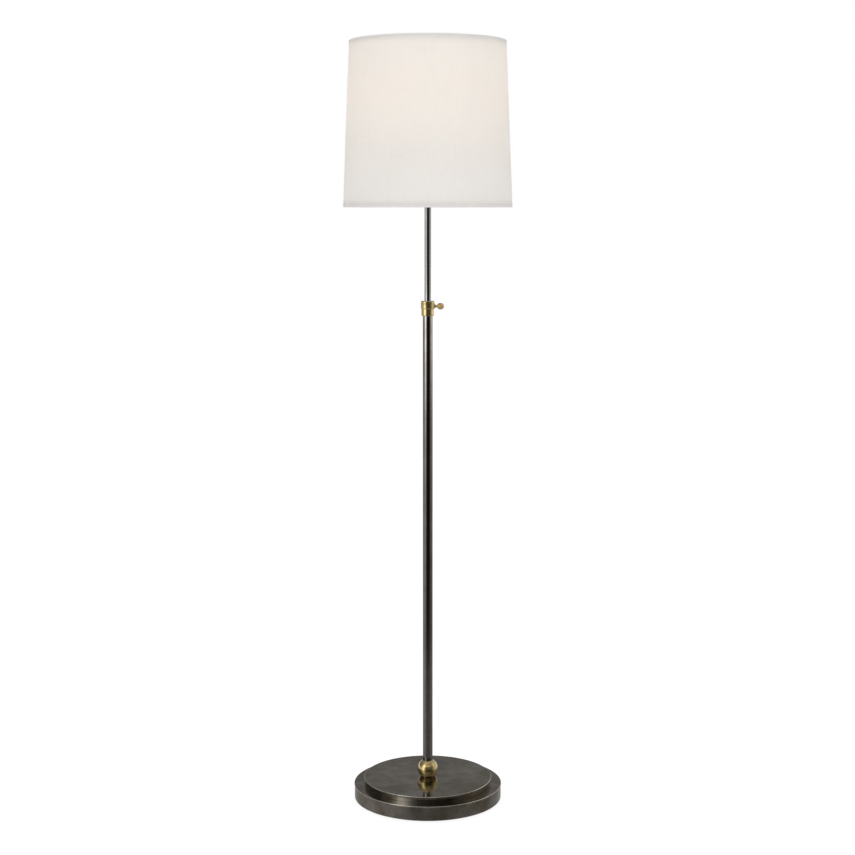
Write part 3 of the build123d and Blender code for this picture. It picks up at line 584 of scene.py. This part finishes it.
def weave(n, u, v):
    """Plain weave in cloth coordinates (metres).

    Gives the height of the threads and how open the cloth is, both 0 to 1.
    """
    turns = 2 * math.pi / (2 * THREAD_PITCH)
    drift = n.noise(n.join(n.math("MULTIPLY", u, 260.0), n.math("MULTIPLY", v, 9.0), 0.0), 1.0, 2.0)
    drift = n.math("MULTIPLY", n.math("SUBTRACT", drift, 0.5), 2.2)
    across = n.math("ADD", n.math("MULTIPLY", u, turns), drift)
    along = n.math("ADD", n.math("MULTIPLY", v, turns), drift)
    sin_u, sin_v = n.math("SINE", across), n.math("SINE", along)
    cos_u, cos_v = n.math("COSINE", across), n.math("COSINE", along)
    warp = n.math("MULTIPLY", n.math("ABSOLUTE", sin_u), n.span(n.math("MULTIPLY", cos_u, cos_v), -0.3, 0.3))
    weft = n.math("MULTIPLY", n.math("ABSOLUTE", sin_v), n.span(n.math("MULTIPLY", cos_u, cos_v), 0.3, -0.3))
    height = n.math("MAXIMUM", warp, weft)
    cover = n.math("MAXIMUM", n.math("ABSOLUTE", sin_u), n.math("ABSOLUTE", sin_v))
    gap = n.math("SUBTRACT", 1.0, cover, clamp=True)
    return height, gap


def slubs(n, u, v):
    """Thick places in the yarn: short fat streaks along both directions, 0 to 1."""
    def streaks(along, across, seed):
        lines = n.join(n.math("MULTIPLY", along, 26.0), n.math("MULTIPLY", across, 1100.0), seed)
        return n.span(n.noise(lines, 1.0, 2.0, 0.6), 0.56, 0.74, smooth=True)
    return n.math("MAXIMUM", streaks(u, v, 3.1), streaks(v, u, 8.7))


def lap_mask(n):
    """1 where the cloth laps over itself at the back, with a soft edge, and 0 elsewhere."""
    x, y, _ = n.split(n.place())
    lean = n.math("DIVIDE", n.math("ABSOLUTE", x), n.math("MAXIMUM", y, 0.001))
    half = 0.5 * SEAM_WIDTH / SHADE_BOTTOM_RADIUS
    band = n.span(lean, 0.94 * half, 1.04 * half, 1.0, 0.0, smooth=True)
    return n.math("MULTIPLY", band, n.math("GREATER_THAN", y, 0.0))


def linen(name, through, cast=1.0):
    """White linen. through is the share of light that the layers let through, and cast scales its colour:
    painted shade below 1 and painted light above 1.
    """
    material, n = new_material(name)
    u, v, _ = n.split(n.add("ShaderNodeTexCoord", output="UV"))
    height, gap = weave(n, u, v)
    thick = slubs(n, u, v)
    cloud = n.noise(n.join(u, v, 0.0), 14.0, 3.0)
    clouding = n.math("MULTIPLY", n.math("SUBTRACT", cloud, 0.5), 0.5)
    fade = n.math("ADD", n.math("MULTIPLY", thick, 0.45), clouding, clamp=True)
    colour = n.mix(fade, shade(LINEN_COLOUR, cast), shade(LINEN_DARK, cast))
    relief = n.math("ADD", n.math("MULTIPLY", height, 0.7), n.math("MULTIPLY", thick, 0.6))
    normal = n.bump(relief, 0.10 * MM, strength=0.7)
    lap = lap_mask(n)
    # Painted shade: the lapped band at the back is darkened for the light that the double cloth holds back
    colour = n.mix(n.math("MULTIPLY", lap, LAP_PAINTED_SHADE), colour, shade(LINEN_DARK, cast))
    pores = n.math("SUBTRACT", n.math("MULTIPLY", gap, PORE_LIGHT), n.math("MULTIPLY", thick, SLUB_SHADE))
    open_share = n.math("ADD", through, pores, clamp=True)
    shielded = n.math("SUBTRACT", 1.0, n.math("MULTIPLY", lap, LAP_SHIELDING))
    open_share = n.math("MULTIPLY", open_share, shielded)
    front = n.add("ShaderNodeBsdfPrincipled", {
        "Base Color": colour, "Roughness": 0.78, "Sheen Weight": 0.04, "Sheen Roughness": 0.5,
        "Normal": normal, "Specular IOR Level": 0.4})
    back = n.add("ShaderNodeBsdfTranslucent", {"Color": colour, "Normal": normal})
    n.finish(n.add("ShaderNodeMixShader", {0: open_share, 1: front, 2: back}))
    return material


def lining():
    """Smooth backing sheet inside the shade."""
    material, n = new_material("shade_lining")
    mottle = n.noise(n.place(), 45.0, 4.0)
    colour = n.mix(mottle, rgb(0.87, 0.865, 0.85), rgb(0.93, 0.925, 0.91))
    normal = n.bump(n.noise(n.place(), 900.0, 2.0), 0.02 * MM)
    front = n.add("ShaderNodeBsdfPrincipled", {"Base Color": colour, "Roughness": 0.6, "Normal": normal})
    back = n.add("ShaderNodeBsdfTranslucent", {"Color": colour, "Normal": normal})
    n.finish(n.add("ShaderNodeMixShader", {0: 0.55, 1: front, 2: back}))
    return material


# -------------------------------------------------------------------------- mesh helpers


def revolved(name, section, angles, nudge=None):
    """Closed ring of cloth or felt: a section of (radius, height) points carried through angles round Z.

    nudge(angle, i) gives (outwards, upwards) for point i. UVs are in metres, round the ring and along
    the section.
    """
    count, rows = len(angles), len(section)
    mean_radius = sum(r for r, _ in section) / rows
    along = [0.0]
    for (r0, z0), (r1, z1) in zip(section, section[1:] + section[:1]):
        along.append(along[-1] + math.hypot(r1 - r0, z1 - z0))
    points = []
    for angle in angles:
        for i, (radius, height) in enumerate(section):
            out, up = nudge(angle, i) if nudge else (0.0, 0.0)
            r = radius + out
            points.append((r * math.sin(angle), -r * math.cos(angle), height + up))
    faces, uvs = [], []
    for a in range(count):
        b = (a + 1) % count
        left, right = angles[a] * mean_radius, (angles[b] if b else 2 * math.pi + angles[0]) * mean_radius
        for i in range(rows):
            j = (i + 1) % rows
            faces.append((a * rows + i, b * rows + i, b * rows + j, a * rows + j))
            uvs += [(left, along[i]), (right, along[i]), (right, along[i + 1]), (left, along[i + 1])]
    mesh = bpy.data.meshes.new(name)
    mesh.from_pydata(points, [], faces)
    layer = mesh.uv_layers.new(name="cloth")
    layer.data.foreach_set("uv", [value for uv in uvs for value in uv])
    mesh.polygons.foreach_set("use_smooth", [True] * len(faces))
    mesh.set_sharp_from_angle(angle=math.radians(50))
    mesh.validate()
    piece = bpy.data.objects.new(name, mesh)
    bpy.context.scene.collection.objects.link(piece)
    return piece


def arc(centre, radius, start, end, steps):
    """Points on an arc in a section, from one angle in degrees to another."""
    angles = [math.radians(start + (end - start) * k / steps) for k in range(steps + 1)]
    return [(centre[0] + radius * math.cos(a), centre[1] + radius * math.sin(a)) for a in angles]


def ripple(angle, seed, waves):
    """Smooth irregular wave round a ring, about -1 to 1, without a join."""
    reach = waves / (2 * math.pi)
    return 2 * noise.noise(Vector((reach * math.cos(angle), reach * math.sin(angle), seed)))


# --------------------------------------------------------------------------------- shade

SHADE_STEPS, SHADE_ROWS = 288, 40
SHADE_WALL, SHADE_WARP = 1.2 * MM, 0.18 * MM
TRIM_TOP_HEIGHT, TRIM_BOTTOM_HEIGHT = 1.8 * MM, 4.2 * MM  # outside
TRIM_PUFF, TRIM_WANDER = 0.05 * MM, 0.12 * MM
LAP_EDGE, LAP_FLAT, LAP_FALL = 0.06, 0.7, 0.3  # shares of the seam's width
SEAM_ANGLE = math.pi  # at the back


def rim_radius(node, top):
    """Outer radius of a turned CAD node at its top or bottom edge."""
    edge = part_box(node)[1 if top else 0].z
    points = [v.co for v in nodes[node].data.vertices if abs(v.co.z - edge) < 0.05 * MM]
    return max(math.hypot(p.x, p.y) for p in points)


SHADE_BOTTOM, SHADE_TOP = (corner.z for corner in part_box("shade_panel"))
BOTTOM_RADIUS, TOP_RADIUS = rim_radius("shade_panel", False), rim_radius("shade_panel", True)


def shade_angles():
    """Even steps round the shade, with close ones where the cloth laps over itself."""
    even = [2 * math.pi * k / SHADE_STEPS for k in range(SHADE_STEPS)]
    half = SEAM_WIDTH / BOTTOM_RADIUS
    close = [SEAM_ANGLE - half / 2 + half * k / 24 for k in range(-3, 28)]
    kept = [a for a in even if not close[0] - 0.01 < a < close[-1] + 0.01]
    return sorted(kept + close)


def seam_rise(angle):
    """How far the lapped cloth stands out: a glued edge on one side, and a gentle fall on the other."""
    along = (angle - SEAM_ANGLE) * BOTTOM_RADIUS / SEAM_WIDTH + 0.5
    if not 0 < along < 1:
        return 0.0
    edge = min(1.0, along / LAP_EDGE)
    fall = 1 - max(0.0, (along - LAP_FLAT) / LAP_FALL) ** 2
    return SEAM_RISE * edge * fall


def make_shade():
    def radius_at(share):
        return BOTTOM_RADIUS + (TOP_RADIUS - BOTTOM_RADIUS) * share

    shares = [k / SHADE_ROWS for k in range(SHADE_ROWS + 1)]
    outside = [(radius_at(s), SHADE_BOTTOM + (SHADE_TOP - SHADE_BOTTOM) * s) for s in shares]
    inside = [(r - SHADE_WALL, z) for r, z in reversed(outside)]

    def nudge(angle, i):
        warp = SHADE_WARP * ripple(angle, 1.7 + 0.05 * (i % (SHADE_ROWS + 1)), 9)
        return warp + (seam_rise(angle) if i < len(outside) else 0.0), 0.0

    piece = revolved("shade_linen", outside + inside, shade_angles(), nudge)
    piece.data.materials.append(linen("linen", 0.42))
    piece.data.materials.append(lining())
    rows = len(outside) + len(inside)
    for k, face in enumerate(piece.data.polygons):
        face.material_index = 0 if k % rows < len(outside) else 1
    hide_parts("shade_panel")
    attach(piece, "upper_rod")
    return piece


def make_trim(name, node, top):
    """Strip of the same cloth folded over the shade's edge and its wire, and glued down on both sides."""
    slope = (TOP_RADIUS - BOTTOM_RADIUS) / (SHADE_TOP - SHADE_BOTTOM)
    edge, edge_radius, side = (SHADE_TOP, TOP_RADIUS, -1) if top else (SHADE_BOTTOM, BOTTOM_RADIUS, 1)
    thick, inner_height, wire_room = 0.3 * MM, 8 * MM, 4.5 * MM
    outer_height = TRIM_TOP_HEIGHT if top else TRIM_BOTTOM_HEIGHT
    fold = wire_room / 2
    centre = edge_radius - fold
    steps = 12

    def lean(points):
        return [(r + slope * (z - edge), z) for r, z in points]

    fold_height = fold * 0.55
    turn = [math.pi * k / steps for k in range(steps + 1)]
    base = edge + side * (fold_height - thick)

    def bow(across, down, turns):
        return [(centre + across * math.cos(t), base - side * down * math.sin(t)) for t in turns]

    skin = bow(fold + thick, fold_height + thick, turn)
    back = bow(fold, fold_height, reversed(turn))
    up_out = [edge + side * outer_height * k / 4 for k in (4, 3, 2)]
    up_in = [edge + side * inner_height * k / 4 for k in (2, 3, 4)]
    section = [(edge_radius + thick, z) for z in up_out] + skin
    section += [(centre - fold - thick, z) for z in up_in] + [(centre - fold, z) for z in reversed(up_in)]
    section += back + [(edge_radius, z) for z in reversed(up_out)]
    section = lean(section)
    if top:
        section.reverse()

    def nudge(angle, i):
        puff = TRIM_PUFF * ripple(angle, 4.4 + 0.13 * i, 60)
        loose = 1 if section[i][1] != edge else 0
        return puff + seam_rise(angle), TRIM_WANDER * ripple(angle, 9.1, 24) * loose

    piece = revolved(name, section, shade_angles(), nudge)
    # The top trim's colour is scaled down as painted shade, and the bottom trim's slightly up as painted
    # light
    cloth = linen("linen_trim_top", 0.14, 0.95) if top else linen("linen_trim_bottom", 0.30, 1.01)
    piece.data.materials.append(cloth)
    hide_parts(node)
    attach(piece, "upper_rod")
    return piece


# ------------------------------------------------------------------------------ felt pad


def make_felt():
    """Die-cut felt disc under the base, with a soft rim."""
    lowest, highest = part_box("felt_pad")
    radius, thick = highest.x, highest.z
    soft = 0.45 * thick
    section = [(radius * k, 0.0) for k in (0.001, 0.35, 0.7, 0.97)]
    section += arc((radius - soft, soft), soft, -90, 0, 4)
    section += arc((radius - soft, thick - soft), soft, 0, 90, 4)
    section += [(radius * k, thick) for k in (0.97, 0.7, 0.35, 0.001)]

    def nudge(angle, i):
        out = section[i][0] > 0.98 * radius
        return (-abs(0.22 * MM * ripple(angle, 2.0 + 0.3 * i, 220)) if out else 0.0), 0.0

    piece = revolved("felt_foot", section, [2 * math.pi * k / 360 for k in range(360)], nudge)
    piece.data.materials.append(felt())
    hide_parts("felt_pad")
    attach(piece, "base")
    return piece


# ----------------------------------------------------------------------------- the scene

RECIPES = {
    "brushed_bronze": brushed_bronze,
    "bronze_tube": bronze_tube,
    "antique_brass": antique_brass,
    "gunmetal": gunmetal,
    "cast_iron": cast_iron,
    "zinc_steel": zinc_steel,
    "nylon": nylon,
    "black_plastic": black_plastic,
    "brass_plain": brass_plain,
    "nickel": nickel,
    "holder_bronze": holder_bronze,
    "insulating_board": insulating_board,
    "phenolic": phenolic,
    "bulb_aluminium": bulb_aluminium,
    "black_glass": black_glass,
    "frosted_glass": frosted_glass,
    "clear_glass": clear_glass,
    "tungsten": tungsten,
    "shade_wire": shade_wire,
}


def finish_cad_nodes():
    made = {name: recipe() for name, recipe in RECIPES.items()}
    for entry in frame["record"]["subparts"]:
        material = made.get(entry["material_slot"])
        if material:
            mesh = nodes[entry["node"]].data
            mesh.materials.clear()
            mesh.materials.append(material)


make_camera()
make_studio()
finish_cad_nodes()
panel = make_shade()
trims = [
    make_trim("shade_bottom_trim", "shade_bottom_hem", False),
    make_trim("shade_top_trim", "shade_top_hem", True),
]
make_felt()
